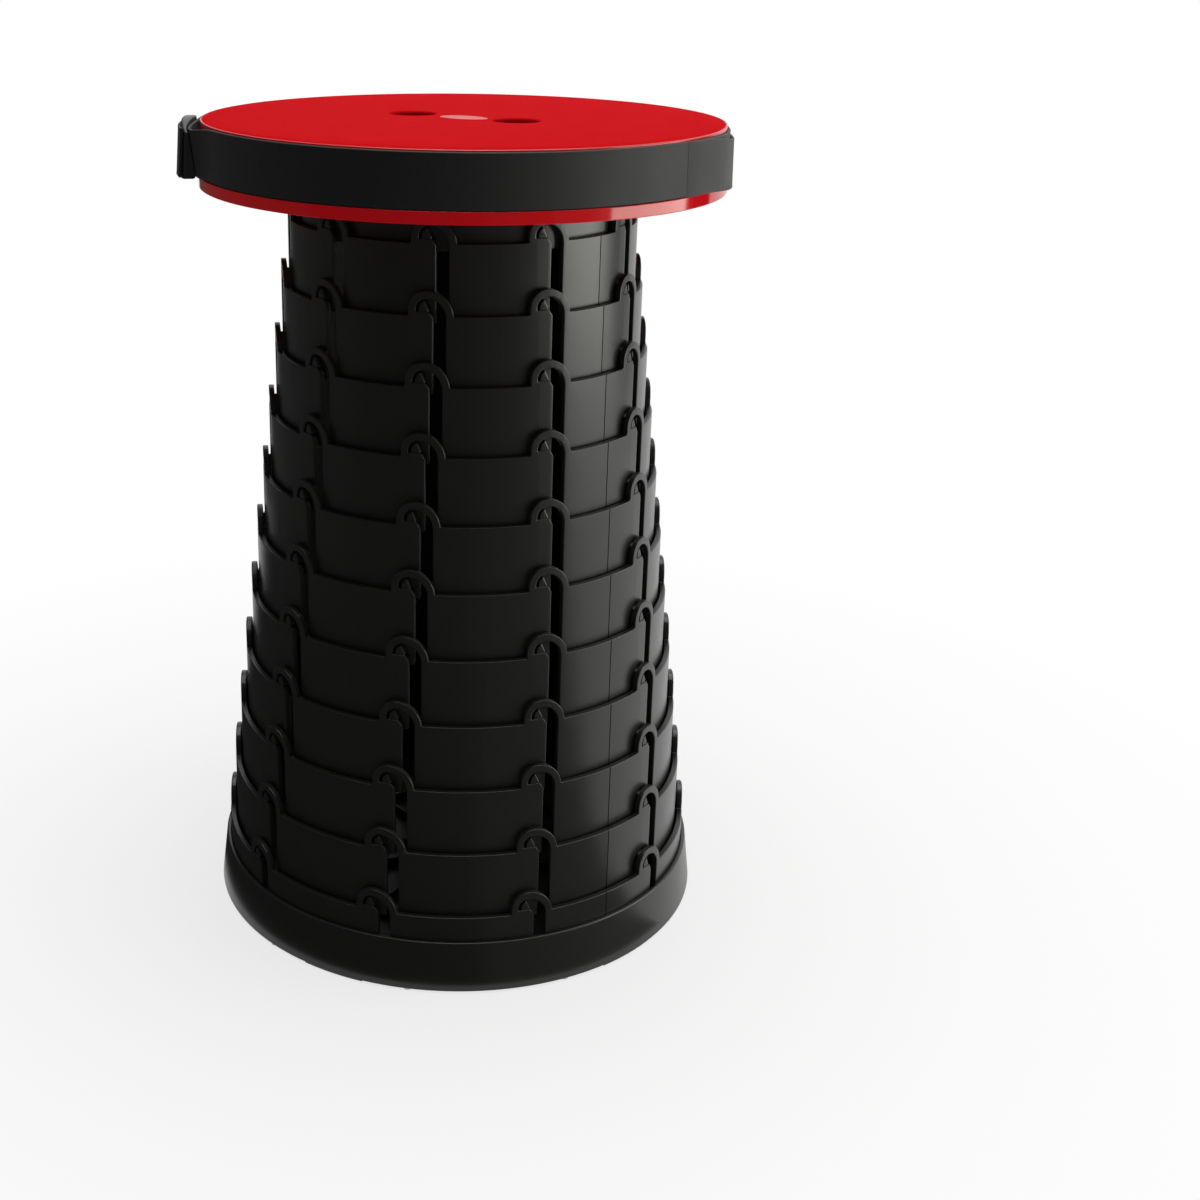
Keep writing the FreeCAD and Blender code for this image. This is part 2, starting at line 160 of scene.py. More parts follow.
radial_pitch = section_wall + section_gap
period = 360.0 / hook_count
arch_centre = Vector((slot_width / 2 + hook_band - hook_arch, hook_rise - hook_arch))
crown_centre = Vector((arch_centre.x, hook_rise - hook_crown))
pocket_left = arch_centre.x - hook_crown + hook_band
lug_left = pocket_left + lug_side_gap
lug_bottom = tongue_rise + lug_rest_gap
outer_section_radius = inner_section_radius + (sliding_sections + 1) * radial_pitch
skirt_inner = outer_section_radius + skirt_clearance
skirt_outer = skirt_inner + skirt_wall
strap_inner = skirt_outer + strap_clearance
strap_outer = strap_inner + strap_thickness
foot_inner = outer_section_radius + foot_section_clearance
foot_rim = foot_inner + foot_rim_wall
foot_bottom = foot_rim + foot_flare
foot_step = foot_bottom - foot_rim_wall / 2


def at(azimuth, radius, height):
    turn = math.radians(azimuth)
    return Vector((radius * math.sin(turn), -radius * math.cos(turn), height))


def heights(node):
    low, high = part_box(node)
    return low.z / MM, high.z / MM


def arc(centre, radius, start, end, steps):
    points = []
    for step in range(steps + 1):
        turn = math.radians(start + (end - start) * step / steps)
        across = centre[0] + radius * math.cos(turn)
        up = centre[1] + radius * math.sin(turn)
        points.append(Vector((across, up)))
    return points


def rounded_corner(before, corner, after, radius, steps=3):
    """Points of an arc that touches both sides of a corner."""
    to_before = (before - corner).normalized()
    to_after = (after - corner).normalized()
    half = to_before.angle(to_after) / 2
    reach = min(
        radius / math.tan(half),
        corner_reach * (before - corner).length,
        corner_reach * (after - corner).length,
    )
    start = corner + to_before * reach
    end = corner + to_after * reach
    points = []
    for step in range(steps + 1):
        t = step / steps
        points.append(start * (1 - t) ** 2 + corner * 2 * t * (1 - t) + end * t ** 2)
    return points


def with_rounded_corners(points, radii):
    """Outline whose corner i is rounded by radii[i], where that isn't zero."""
    outline = []
    for index, point in enumerate(points):
        radius = radii[index]
        if radius:
            after = points[(index + 1) % len(points)]
            outline += rounded_corner(points[index - 1], point, after, radius)
        else:
            outline.append(point)
    return outline


def make_piece(name, mesh_data, material, body, replaced=(), sharp=40.0):
    """Object from a bmesh in millimetres, riding on its body."""
    bmesh.ops.recalc_face_normals(mesh_data, faces=mesh_data.faces)
    mesh = bpy.data.meshes.new(name)
    mesh_data.to_mesh(mesh)
    mesh_data.free()
    mesh.transform(Matrix.Scale(MM, 4))
    for face in mesh.polygons:
        face.use_smooth = True
    mesh.set_sharp_from_angle(angle=math.radians(sharp))
    piece = bpy.data.objects.new(name, mesh)
    bpy.context.scene.collection.objects.link(piece)
    mesh.materials.append(material)
    weighted = piece.modifiers.new("Even normals", "WEIGHTED_NORMAL")
    weighted.keep_sharp = True
    weighted.weight = 90
    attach(piece, body)
    if replaced:
        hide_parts(*replaced)
    return piece


def offset_ring(points, distances):
    """Outline moved inwards; distances[i] belongs to the side from point i to the next."""
    moved = []
    for index, here in enumerate(points):
        before = (here - points[index - 1]).normalized()
        after = (points[(index + 1) % len(points)] - here).normalized()
        first = Vector((-before.y, before.x))
        second = Vector((-after.y, after.x))
        d1 = distances[index - 1]
        d2 = distances[index]
        cross = first.x * second.y - first.y * second.x
        if abs(cross) < 1e-3:
            shift = (first * d1 + second * d2) / 2
        else:
            shift_x = (d1 * second.y - d2 * first.y) / cross
            shift_y = (d2 * first.x - d1 * second.x) / cross
            shift = Vector((shift_x, shift_y))
        moved.append(here + shift)
    return moved


def plate(outline, open_sides, depth, rounding, share):
    """Flat plate in x and z with a rounded front edge; y is the depth from its front.

    open_sides are the indices of the sides that join a neighbour, so they get no face.
    share gives, from a side's outward normal, how much of the rounding it takes.
    """
    made = bmesh.new()
    rings = []
    shares = []
    for side, here in enumerate(outline):
        along = (outline[(side + 1) % len(outline)] - here).normalized()
        shares.append(0.0 if side in open_sides else share(Vector((along.y, -along.x))))
    steps = 3
    profile = []
    for step in range(steps + 1):
        turn = math.radians(90.0 * step / steps)
        profile.append((rounding * (1 - math.sin(turn)), rounding * (1 - math.cos(turn))))
    profile.append((0.0, depth))
    for inset, deep in profile:
        ring = offset_ring(outline, [inset * part for part in shares]) if inset > 1e-9 else outline
        rings.append([made.verts.new((point.x, deep, point.y)) for point in ring])
    for outer, inner in zip(rings[:-1], rings[1:]):
        for side in range(len(outline)):
            if side in open_sides:
                continue
            after = (side + 1) % len(outline)
            made.faces.new((outer[side], inner[side], inner[after], outer[after]))
    for ring in (rings[0], rings[-1]):
        corners = [Vector((vert.co.x, vert.co.z, 0)) for vert in ring]
        for triangle in tessellate_polygon([corners]):
            made.faces.new([ring[index] for index in triangle])
    return made


def cut_upright(made, places):
    for place in places:
        geometry = made.verts[:] + made.edges[:] + made.faces[:]
        bmesh.ops.bisect_plane(made, geom=geometry, plane_co=(place, 0, 0), plane_no=(1, 0, 0))


def wrapped(made, arc_radius, front_radius, height, azimuth):
    """Bends a flat plate round the Z axis."""
    for vert in made.verts:
        turn = azimuth + math.degrees(vert.co.x / arc_radius)
        vert.co = at(turn, front_radius - vert.co.y, height + vert.co.z)
    return made


def round_and_round(made, count, target):
    """Copies a bmesh to each of its places round the axis, into one."""
    source = bpy.data.meshes.new("step")
    made.to_mesh(source)
    made.free()
    for index in range(count):
        copy = source.copy()
        copy.transform(Matrix.Rotation(math.radians(360.0 * index / count), 4, "Z"))
        target.from_mesh(copy)
        bpy.data.meshes.remove(copy)
    bpy.data.meshes.remove(source)


def wall_outline(arc_radius, panel_height):
    """One hook with half a panel on each side, flat, and the sides that join neighbours."""
    half_period = math.pi * arc_radius / hook_count
    half_slot = slot_width / 2
    hook_foot = math.degrees(math.asin(-arch_centre.y / hook_arch))
    outer_long = arc(arch_centre, hook_arch, hook_foot, 90, steps=10)
    outer_short = arc(crown_centre, hook_crown, 90, 180, steps=8)
    inner_short = arc(crown_centre, hook_crown - hook_band, 180, 90, steps=7)
    inner_long = arc(arch_centre, hook_arch - hook_band, 90, 0, steps=8)
    bottom = -panel_height
    hook_left = outer_short[-1].x
    points = []
    points.append(Vector((-half_period, bottom)))
    points += rounded_corner(
        Vector((-half_period, bottom)),
        Vector((-half_slot, bottom)),
        Vector((-half_slot, 0)),
        corner_round,
    )
    points.append(Vector((-half_slot, -tongue_chamfer / 2)))
    points += rounded_corner(
        Vector((-half_slot, -tongue_chamfer / 2)),
        Vector((-half_slot - tongue_chamfer, tongue_rise)),
        Vector((pocket_left, tongue_rise)),
        corner_round,
    )
    points.append(Vector((pocket_left, tongue_rise)))
    points += inner_short
    points += inner_long[1:]
    points += rounded_corner(
        Vector((half_slot, 0)),
        Vector((half_slot, bottom)),
        Vector((half_period, bottom)),
        corner_round,
    )
    points.append(Vector((half_period, bottom)))
    points.append(Vector((half_period, 0)))
    right_side = len(points) - 2
    points += outer_long
    points += outer_short[1:]
    points += rounded_corner(
        Vector((hook_left, crown_centre.y)),
        Vector((hook_left, 0)),
        Vector((-half_period, 0)),
        corner_round,
    )
    points.append(Vector((-half_period, 0)))
    left_side = len(points) - 1
    return points, {right_side, left_side}


def wall_share(outward):
    return 1.0 - (1.0 - top_edge_share) * max(0.0, outward.y)


def lug_share(outward):
    if outward.y < -0.5:
        return 0.0
    return 1.0 if outward.x > 0.2 else lug_left_share


def lug_outline():
    """Fin whose long side slants down to the slot."""
    right = lug_left + lug_width
    top = lug_bottom + lug_height
    apex = lug_left + lug_height / 2
    corners = [
        Vector((lug_left, lug_bottom)),
        Vector((right, lug_bottom)),
        Vector((right, lug_bottom + lug_toe)),
        Vector((apex, top)),
        Vector((lug_left + lug_round / 2, lug_bottom + lug_height / 2)),
    ]
    return with_rounded_corners(corners, [0, 0, lug_toe_round, lug_round, lug_side_round])


def slot_azimuth(number):
    step = number - 1
    return front_slot_azimuth - slot_twist * step - slot_twist_growth * step ** 2


def section_radius(number):
    return inner_section_radius + number * radial_pitch


def add_wall(made, number, node):
    """Hooked wall of a section, ten hooks and panels in one ring."""
    outer = section_radius(number)
    bottom, hook_top = heights(node)
    panel_top = hook_top - hook_rise
    outline, open_sides = wall_outline(outer, panel_top - bottom)
    step = plate(outline, open_sides, section_wall, edge_round, wall_share)
    half_period = math.pi * outer / hook_count
    channel_left = lug_left - channel_side_clearance
    channel_right = lug_left + lug_width + channel_side_clearance
    hair = 0.02
    cuts = int(period / wrap_step)
    places = [half_period * (2.0 * cut / cuts - 1) for cut in range(1, cuts)]
    places += [side * (half_period - mould_line_width) for side in (-1, 1)]
    places += [channel_left, channel_left + hair, channel_right - hair, channel_right]
    cut_upright(step, places)
    channel_depth = section_wall - lug_reach - lug_clearance
    for vert in step.verts:
        in_channel = channel_left + hair / 2 < vert.co.x < channel_right - hair / 2
        if vert.co.y > section_wall - hair and in_channel and vert.co.z < tongue_rise + hair:
            vert.co.y = channel_depth
    wrapped(step, outer, outer, panel_top, slot_azimuth(number))
    round_and_round(step, hook_count, made)
    bmesh.ops.remove_doubles(made, verts=made.verts, dist=0.002)
    for panel in mould_lines:
        middle = at(slot_azimuth(number) + period * (panel + 0.5), outer, 0)
        for vert in made.verts:
            if math.hypot(vert.co.x - middle.x, vert.co.y - middle.y) < hair:
                inwards = 1.0 - mould_line_depth / outer
                vert.co.x *= inwards
                vert.co.y *= inwards


def add_lugs(made, number, hooks_node):
    """Lugs of a section, which lie in the hooks of the next one out."""
    arc_radius = section_radius(number + 1)
    tip = arc_radius - section_wall + lug_reach
    depth = tip - section_radius(number) + lug_root
    hook_top = heights(hooks_node)[1]
    lug = plate(lug_outline(), set(), depth, lug_round, lug_share)
    wrapped(lug, arc_radius, tip, hook_top - hook_rise, slot_azimuth(number + 1))
    round_and_round(lug, hook_count, made)


def join_rings(made, rings, closed):
    """Faces from each ring of vertices to the next; if closed, back to the first too."""
    count = len(rings)
    for index in range(count if closed else count - 1):
        ring, after = rings[index], rings[(index + 1) % count]
        for side in range(len(ring)):
            nearby = (side + 1) % len(ring)
            made.faces.new((ring[side], after[side], after[nearby], ring[nearby]))
    if not closed:
        made.faces.new(rings[0])
        made.faces.new(rings[-1])


def lathe(made, profile, count=180):
    """Closed ring with the given outline in radius and height."""
    rings = []
    for step in range(count):
        rings.append([made.verts.new(at(360.0 * step / count, r, z)) for r, z in profile])
    join_rings(made, rings, closed=True)


def section_pieces(material):
    for number in range(1, sliding_sections + 1):
        node = f"section_{number:02d}"
        outward = "outer_section" if number == sliding_sections else f"section_{number + 1:02d}"
        made = bmesh.new()
        add_wall(made, number, node)
        add_lugs(made, number, outward)
        name = f"telescopic_section_{number:02d}"
        body = f"sliding_{number:02d}"
        make_piece(name, made, material, body, [node])
    made = bmesh.new()
    add_wall(made, sliding_sections + 1, "outer_section")
    make_piece("foot_section", made, material, "foot", ["outer_section"])


def inner_section_piece(material):
    bottom, top = heights("inner_section")
    inner = inner_section_radius - section_wall
    profile = with_rounded_corners(
        [
            Vector((inner, bottom)),
            Vector((inner_section_radius, bottom)),
            Vector((inner_section_radius, top)),
            Vector((inner, top)),
        ],
        [0, edge_round, 0, 0],
    )
    made = bmesh.new()
    lathe(made, profile)
    add_lugs(made, 0, "section_01")
    make_piece("seat_section", made, material, "seat", ["inner_section"])


def foot_ring_piece(material):
    bottom, top = heights("foot_ring")
    hoop_top = floor_top + foot_hoop_thickness
    pocket = outer_section_radius + foot_hoop_width + foot_section_clearance
    profile = with_rounded_corners(
        [
            Vector((foot_inner, hoop_top)),
            Vector((pocket, hoop_top)),
            Vector((pocket, floor_top)),
            Vector((foot_step, floor_top)),
            Vector((foot_step, bottom)),
            Vector((foot_bottom, bottom)),
            Vector((foot_rim, top)),
            Vector((foot_inner, top)),
        ],
        [0, 0, 0, 0, 0, foot_bottom_round, foot_rim_round, foot_inner_round],
    )
    made = bmesh.new()
    lathe(made, profile)
    make_piece("foot_wall", made, material, "foot", ["foot_ring"])


def skirt_piece(material):
    bottom, top = heights("seat_skirt")
    seat_top = heights("seat_lid")[1]
    foot_height = heights("foot_ring")[1]
    lip_inner = foot_rim + foot_flare * lip_overlap / foot_height + lip_clearance
    lip_outer = lip_inner + lip_wall
    lip_top = seat_top - strap_drop - strap_width - strap_clearance
    web = lip_top - lip_wall
    profile = with_rounded_corners(
        [
            Vector((skirt_inner, web)),
            Vector((lip_inner, web)),
            Vector((lip_inner, bottom)),
            Vector((lip_outer, bottom)),
            Vector((lip_outer, lip_top)),
            Vector((skirt_outer, lip_top)),
            Vector((skirt_outer, top)),
            Vector((skirt_inner, top)),
        ],
        [0, 0, lip_inner_round, lip_outer_round, lip_outer_round, 0, 0, 0],
    )
    made = bmesh.new()
    lathe(made, profile)
    make_piece("seat_rim", made, material, "seat", ["seat_skirt"])
    return lip_outer


def band_profile(thickness):
    """Cross-section of the webbing, as distance from its middle and height."""
    half = thickness / 2
    side = [
        (0.0, 0.0),
        (half * 0.75, 0.12),
        (half + selvedge * 0.6, 0.4),
        (half + selvedge, selvedge_width / 2),
        (half + selvedge * 0.3, selvedge_width),
        (half, selvedge_width * 1.4),
    ]
    outer = side + [(half, strap_width / 2)]
    outer += [(offset, strap_width - height) for offset, height in reversed(side)]
    inner = [(-offset, height) for offset, height in reversed(outer[1:-1])]
    return outer + inner


def band(name, route, closed, thickness, low, material, replaced):
    """Strap along a route in plan.

    A place of the route is (azimuth, radius, lean, fall of its upper edge, fall of its
    lower edge, share of the full thickness). Lean is how far the lower edge stands out.
    """
    made = bmesh.new()
    profile = band_profile(thickness)
    weave = made.loops.layers.uv.new("weave")
    count = len(route)
    middle = [at(place[0], place[1], 0) for place in route]
    rings = []
    along = [0.0]
    for index in range(count):
        _, _, lean, upper_fall, lower_fall, share = route[index]
        before = middle[index - 1] if index or closed else middle[0]
        after = middle[(index + 1) % count] if index + 1 < count or closed else middle[-1]
        heading = (after - before).normalized()
        outward = Vector((heading.y, -heading.x, 0))
        if outward.dot(middle[index]) < 0:
            outward.negate()
        ring = []
        for offset, height in profile:
            part = height / strap_width
            place = middle[index] + outward * (offset * share + lean * (0.5 - part))
            fall = lower_fall + (upper_fall - lower_fall) * part
            ring.append(made.verts.new((place.x, place.y, low + height - fall)))
        rings.append(ring)
        along.append(along[-1] + (middle[(index + 1) % count] - middle[index]).length)
    for index in range(count if closed else count - 1):
        ring, after = rings[index], rings[(index + 1) % count]
        for side in range(len(profile)):
            nearby = (side + 1) % len(profile)
            face = made.faces.new((ring[side], after[side], after[nearby], ring[nearby]))
            distances = (along[index], along[index + 1], along[index + 1], along[index])
            places = (profile[side], profile[side], profile[nearby], profile[nearby])
            for loop, distance, place in zip(face.loops, distances, places):
                loop[weave].uv = (distance, place[1])
    if not closed:
        for ring in (rings[0], rings[-1]):
            made.faces.new(ring)
    piece = make_piece(name, made, material, "seat", replaced, sharp=60.0)
    length = along[-1] if closed else along[-2]
    return piece, length * MM


def smooth_steps(points, step):
    """Places between points, whose first value is the azimuth, on a curve through them."""
    steps = []
    for index in range(len(points) - 1):
        before = points[max(index - 1, 0)]
        start, end = points[index], points[index + 1]
        after = points[min(index + 2, len(points) - 1)]
        span = end[0] - start[0]
        pieces = max(1, round(abs(span) / step))
        for piece in range(pieces):
            t = piece / pieces
            place = [start[0] + span * t]
            for item in range(1, len(start)):
                slope_in = (end[item] - before[item]) / (end[0] - before[0]) * span
                slope_out = (after[item] - start[item]) / (after[0] - start[0]) * span
                place.append(
                    start[item] * (2 * t ** 3 - 3 * t ** 2 + 1)
                    + slope_in * (t ** 3 - 2 * t ** 2 + t)
                    + end[item] * (3 * t ** 2 - 2 * t ** 3)
                    + slope_out * (t ** 3 - t ** 2)
                )
            steps.append(place)
    steps.append(list(points[-1]))
    return steps


def loop_route():
    """The layer on the seat, which folds outwards in front of the slider.

    Each place has its azimuth, stand-off from its bed, lean and the fall of both edges.
    """
    return [
        (-180.0, 0.0, 0.1, 0.0, 0.0),
        (-110.0, 0.0, 0.1, 0.0, 0.0),
        (-91.0, 0.0, 0.1, 0.0, 0.0),
        (-87.0, 0.35, -0.3, 0.3, 0.0),
        (-83.0, 1.6, -1.2, 0.9, 0.0),
        (-79.0, 3.2, -2.4, 1.6, 0.0),
        (-76.0, 3.9, -3.0, 2.2, 0.0),
        (-73.0, 3.3, -2.6, 2.2, 0.0),
        (-70.0, 1.6, -1.2, 1.3, 0.0),
        (-66.0, 0.2, -0.2, 0.4, 0.0),
        (-61.0, 0.0, 0.1, 0.0, 0.0),
        (0.0, 0.0, 0.1, 0.0, 0.0),
        (58.0, 0.0, 0.1, 0.3, 0.0),
        (68.0, 0.0, 0.1, 0.9, 0.0),
        (76.0, 0.0, 0.1, 1.4, 0.0),
        (100.0, 0.0, 0.1, 1.4, 0.0),
        (118.0, 0.0, 0.1, 0.5, 0.0),
        (130.0, 0.0, 0.1, 0.0, 0.0),
        (180.0, 0.0, 0.1, 0.0, 0.0),
    ]


def tail_route():
    """The free layer, with the same values for each place.

    It comes out of the slider, crosses its back, stands off in a slack bight and goes
    round the back of the seat to its end, which hangs lower than the layer under it.
    """
    return [
        (slider_azimuth + 6.2, 9.7, slider_lean, 1.8, 0.0),
        (slider_azimuth + 3.0, 9.9, slider_lean, 1.7, 0.0),
        (slider_azimuth, 9.95, slider_lean, 1.5, 0.0),
        (slider_azimuth - 4.0, 9.3, slider_lean, 1.1, 0.0),
        (slider_azimuth - 6.7, 8.2, slider_lean, 0.8, 0.0),
        (slider_azimuth - 9.0, 7.0, slider_lean, 0.5, 0.0),
        (slider_azimuth - 12.0, 5.2, 1.6, 1.8, 0.6),
        (slider_azimuth - 17.0, 4.4, 1.4, 3.0, 1.6),
        (slider_azimuth - 28.0, 4.2, 1.0, 3.3, 2.2),
        (slider_azimuth - 42.0, 4.8, 0.8, 3.3, 2.5),
        (slider_azimuth - 56.0, 3.4, 0.5, 3.0, 2.4),
        (slider_azimuth - 70.0, 2.2, 0.4, 2.4, 2.1),
        (slider_azimuth - 86.0, 1.7, 0.4, 2.0, 1.9),
        (slider_azimuth - 114.0, 1.6, 0.4, 2.6, 2.4),
        (slider_azimuth - 146.0, 1.6, 0.5, 4.2, 3.4),
        (tail_end_azimuth - 305.0, 1.7, 0.5, 5.6, 4.2),
        (tail_end_azimuth - 322.0, 1.7, 0.5, 6.0, 4.4),
        (tail_end_azimuth - 331.0, 1.7, 0.5, 5.4, 4.2),
        (tail_end_azimuth - 338.5, 1.6, 0.5, 3.6, 2.9),
        (tail_end_azimuth - 343.5, 1.5, 0.5, 2.2, 1.7),
        (tail_end_azimuth - 351.0, 1.0, 0.3, 0.6, 0.3),
        (tail_end_azimuth - 358.5, 0.52, 0.15, 0.3, 0.1),
        (tail_end_azimuth - 360.0, 0.12, 0.1, 0.2, 0.1),
    ]


def strap_pieces(material):
    low = heights("carry_strap")[0]
    middle = strap_inner + strap_thickness / 2
    route = []
    for place in smooth_steps(loop_route(), step=1.2)[:-1]:
        azimuth, stand_off, lean, upper_fall, lower_fall = place
        ripple = 0.0
        for waves, rise in strap_ripples:
            ripple += rise * math.sin(math.radians(waves * azimuth))
        radius = middle + strap_slack + ripple / 2 + stand_off
        route.append((azimuth, radius, lean + ripple, upper_fall, lower_fall, 1.0))
    loop, length = band(
        "strap_loop", route, True, strap_thickness, low, material, ["carry_strap"]
    )
    route = []
    for place in smooth_steps(tail_route(), step=0.8):
        azimuth, stand_off, lean, upper_fall, lower_fall = place
        to_end = math.radians(azimuth - tail_end_azimuth + 360) * strap_outer
        share = min(1.0, tail_end_share + tail_end_growth * to_end)
        route.append((azimuth, strap_outer + stand_off, lean, upper_fall, lower_fall, share))
    tail, length = band(
        "strap_tail_end", route, False, strap_free_layer, low, material, ["strap_tail"]
    )


def slider_piece(material, bed):
    """Crescent-shaped slider, whose top falls to its front end in a wide rounding."""
    made = bmesh.new()
    half = slider_length / 2
    high = heights("strap_slider")[1]
    low = high - slider_height
    rings = []
    steps = 36
    layer = smooth_steps(loop_route(), step=0.4)
    for step in range(steps + 1):
        along = half * math.sin(math.radians(180.0 * step / steps - 90.0))
        share = along / half
        azimuth = slider_azimuth + math.degrees(along / bed)
        _, stand_off, lean, _, _ = min(layer, key=lambda place: abs(place[0] - azimuth))
        end = 1.0 - math.sqrt(max(0.0, 1.0 - abs(share) ** slider_end_power))
        thick = slider_far + (slider_near - slider_far) * (1 + share) / 2
        thick += slider_bulge * (1.0 - share ** 2)
        thick *= 1.0 - slider_end_thinning * end
        to_front = max(0.0, (share + slider_brow_start) / (1.0 + slider_brow_start))
        top = high - slider_brow * to_front ** slider_brow_power - slider_end_round * end
        bottom = low + slider_end_round * end
        tilt = (lean - slider_lean) / 2
        corners = [
            Vector((max(0.0, stand_off + tilt), bottom)),
            Vector((thick, bottom)),
            Vector((thick, top)),
            Vector((max(0.0, stand_off - tilt), top)),
        ]
        reach = min(slider_round, (thick - stand_off) * 0.3)
        ring = []
        for depth, level in with_rounded_corners(corners, [reach] * 4):
            shift = slider_lean * (0.5 - (level - low) / slider_height)
            away = bed + depth + shift - along ** 2 / (2 * bed)
            place = at(slider_azimuth, away, level) + at(slider_azimuth + 90, along, 0)
            ring.append(made.verts.new(place))
        rings.append(ring)
    join_rings(made, rings, closed=False)
    make_piece("slider", made, material, "seat", ["strap_slider"], sharp=50.0)


def inlay_piece(material):
    """Plain oval inlay between the finger holes."""
    made = bmesh.new()
    top = heights("seat_lid")[1]
    profile = [(1.0, -0.4), (1.0, 0.5), (0.985, 0.75), (0.95, 0.9), (0.8, 0.96), (0.4, 1.0)]
    count = 64
    turn = Matrix.Rotation(math.radians(finger_hole_azimuth - 90), 4, "Z")
    rings = []
    for share, rise in profile:
        ring = []
        for step in range(count):
            angle = 2 * math.pi * step / count
            place = Vector((
                inlay_length / 2 * share * math.cos(angle),
                inlay_width / 2 * share * math.sin(angle),
                top + inlay_rise * rise,
            ))
            ring.append(made.verts.new(turn @ place + Vector((*inlay_place, 0))))
        rings.append(ring)
    join_rings(made, rings, closed=False)
    make_piece("oval_inlay", made, material, "seat")


def node_material(name, colour, roughness, specular):
    material = bpy.data.materials.new(name)
    material.use_nodes = True
    shader = material.node_tree.nodes["Principled BSDF"]
    shader.inputs["Base Color"].default_value = (*colour, 1)
    shader.inputs["Roughness"].default_value = roughness
    shader.inputs["Specular IOR Level"].default_value = specular
    return material, material.node_tree, shader


def add_noise(tree, scale, detail=2.0):
    place = tree.nodes.new("ShaderNodeTexCoord")
    noise = tree.nodes.new("ShaderNodeTexNoise")
    noise.inputs["Scale"].default_value = scale
    noise.inputs["Detail"].default_value = detail
    tree.links.new(place.outputs["Object"], noise.inputs["Vector"])
    return noise.outputs["Fac"]


def spread(tree, value, low, high, start=0.0, end=1.0):
    """Value from start to end, taken to run from low to high."""
    ramp = tree.nodes.new("ShaderNodeMapRange")
    ramp.inputs["From Min"].default_value = start
    ramp.inputs["From Max"].default_value = end
    ramp.inputs["To Min"].default_value = low
    ramp.inputs["To Max"].default_value = high
    tree.links.new(value, ramp.inputs["Value"])
    return ramp.outputs["Result"]


def math_node(tree, operation, *values, kind="ShaderNodeMath"):
    """Outputs of a node that works on values, which are sockets or plain numbers."""
    node = tree.nodes.new(kind)
    node.operation = operation
    for socket, value in zip(node.inputs, values):
        if isinstance(value, bpy.types.NodeSocket):
            tree.links.new(value, socket)
        else:
            socket.default_value = value
    return node.outputs


def vector_node(tree, operation, *values):
    return math_node(tree, operation, *values, kind="ShaderNodeVectorMath")


def vary_roughness(tree, shader, scale, detail, low, high):
    varied = spread(tree, add_noise(tree, scale, detail), low, high)
    tree.links.new(varied, shader.inputs["Roughness"])


def bump(tree, shader, height, strength, distance):
    node = tree.nodes.new("ShaderNodeBump")
    node.inputs["Strength"].default_value = strength
    node.inputs["Distance"].default_value = distance
    tree.links.new(height, node.inputs["Height"])
    tree.links.new(node.outputs["Normal"], shader.inputs["Normal"])


def add_grain(tree, shader, scale, strength, depth):
    bump(tree, shader, add_noise(tree, scale), strength, depth)


def section_plastic():
    colour = (0.0135, 0.0142, 0.0126)
    material, tree, shader = node_material("section_plastic", colour, roughness=0.31, specular=0.5)
    vary_roughness(tree, shader, scale=60, detail=4, low=0.28, high=0.34)
    add_grain(tree, shader, scale=2200, strength=0.25, depth=0.0001)
    return material


def slider_plastic():
    colour = (0.016, 0.017, 0.016)
    material, tree, shader = node_material("slider_plastic", colour, roughness=0.35, specular=0.5)
    vary_roughness(tree, shader, scale=90, detail=3, low=0.3, high=0.4)
    add_grain(tree, shader, scale=1800, strength=0.15, depth=0.00005)
    return material


def seat_plastic(name, roughness, specular):
    colour = (0.62, 0.0042, 0.0085)
    material, tree, shader = node_material(name, colour, roughness, specular)
    vary_roughness(tree, shader, scale=30, detail=3, low=roughness - 0.04, high=roughness + 0.04)
    add_grain(tree, shader, scale=1500, strength=0.1, depth=0.00005)
    return material


def lid_plastic():
    """Red plastic of the lid: grained and dull on its top, polished round its edge."""
    name = "seat_plastic_grained"
    colour = (0.585, 0.0036, 0.0075)
    material, tree, shader = node_material(name, colour, roughness=0.7, specular=0.007)
    shader.inputs["Coat Roughness"].default_value = 0.25
    place = tree.nodes.new("ShaderNodeTexCoord")
    flat = vector_node(tree, "MULTIPLY", place.outputs["Object"], (1, 1, 0))["Vector"]
    radius = vector_node(tree, "LENGTH", flat)["Value"]
    start = (lid_polish_radius - lid_polish_blend) * MM
    end = (lid_polish_radius + lid_polish_blend) * MM
    tree.links.new(spread(tree, radius, 0.0, 1.0, start, end), shader.inputs["Coat Weight"])
    vary_roughness(tree, shader, scale=50, detail=3, low=0.65, high=0.75)
    add_grain(tree, shader, scale=1500, strength=0.1, depth=0.00005)
    return material


def webbing():
    """Black webbing: threads over and under each other, along and across the strap."""
    colour = (0.0085, 0.0095, 0.0088)
    material, tree, shader = node_material("webbing", colour, roughness=0.62, specular=0.5)
    shader.inputs["Sheen Weight"].default_value = 0.05
    shader.inputs["Sheen Roughness"].default_value = 0.5
    place = tree.nodes.new("ShaderNodeUVMap")
    place.uv_map = "weave"
    split = tree.nodes.new("ShaderNodeSeparateXYZ")
    tree.links.new(place.outputs["UV"], split.inputs[0])
    threads = []
    for axis, pitch in (("X", 1.1), ("Y", 0.8)):
        phase = math_node(tree, "MULTIPLY", split.outputs[axis], 2 * math.pi / pitch)[0]
        threads.append(math_node(tree, "SINE", phase)[0])
    crossing = math_node(tree, "MULTIPLY", *threads)[0]
    bump(tree, shader, crossing, strength=0.35, distance=0.00015)
    vary_roughness(tree, shader, scale=40, detail=3, low=0.55, high=0.7)
    return material


def rubber():
    colour = (0.03, 0.03, 0.03)
    material, tree, shader = node_material("rubber", colour, roughness=0.75, specular=0.3)
    add_grain(tree, shader, scale=900, strength=0.3, depth=0.0001)
    return material


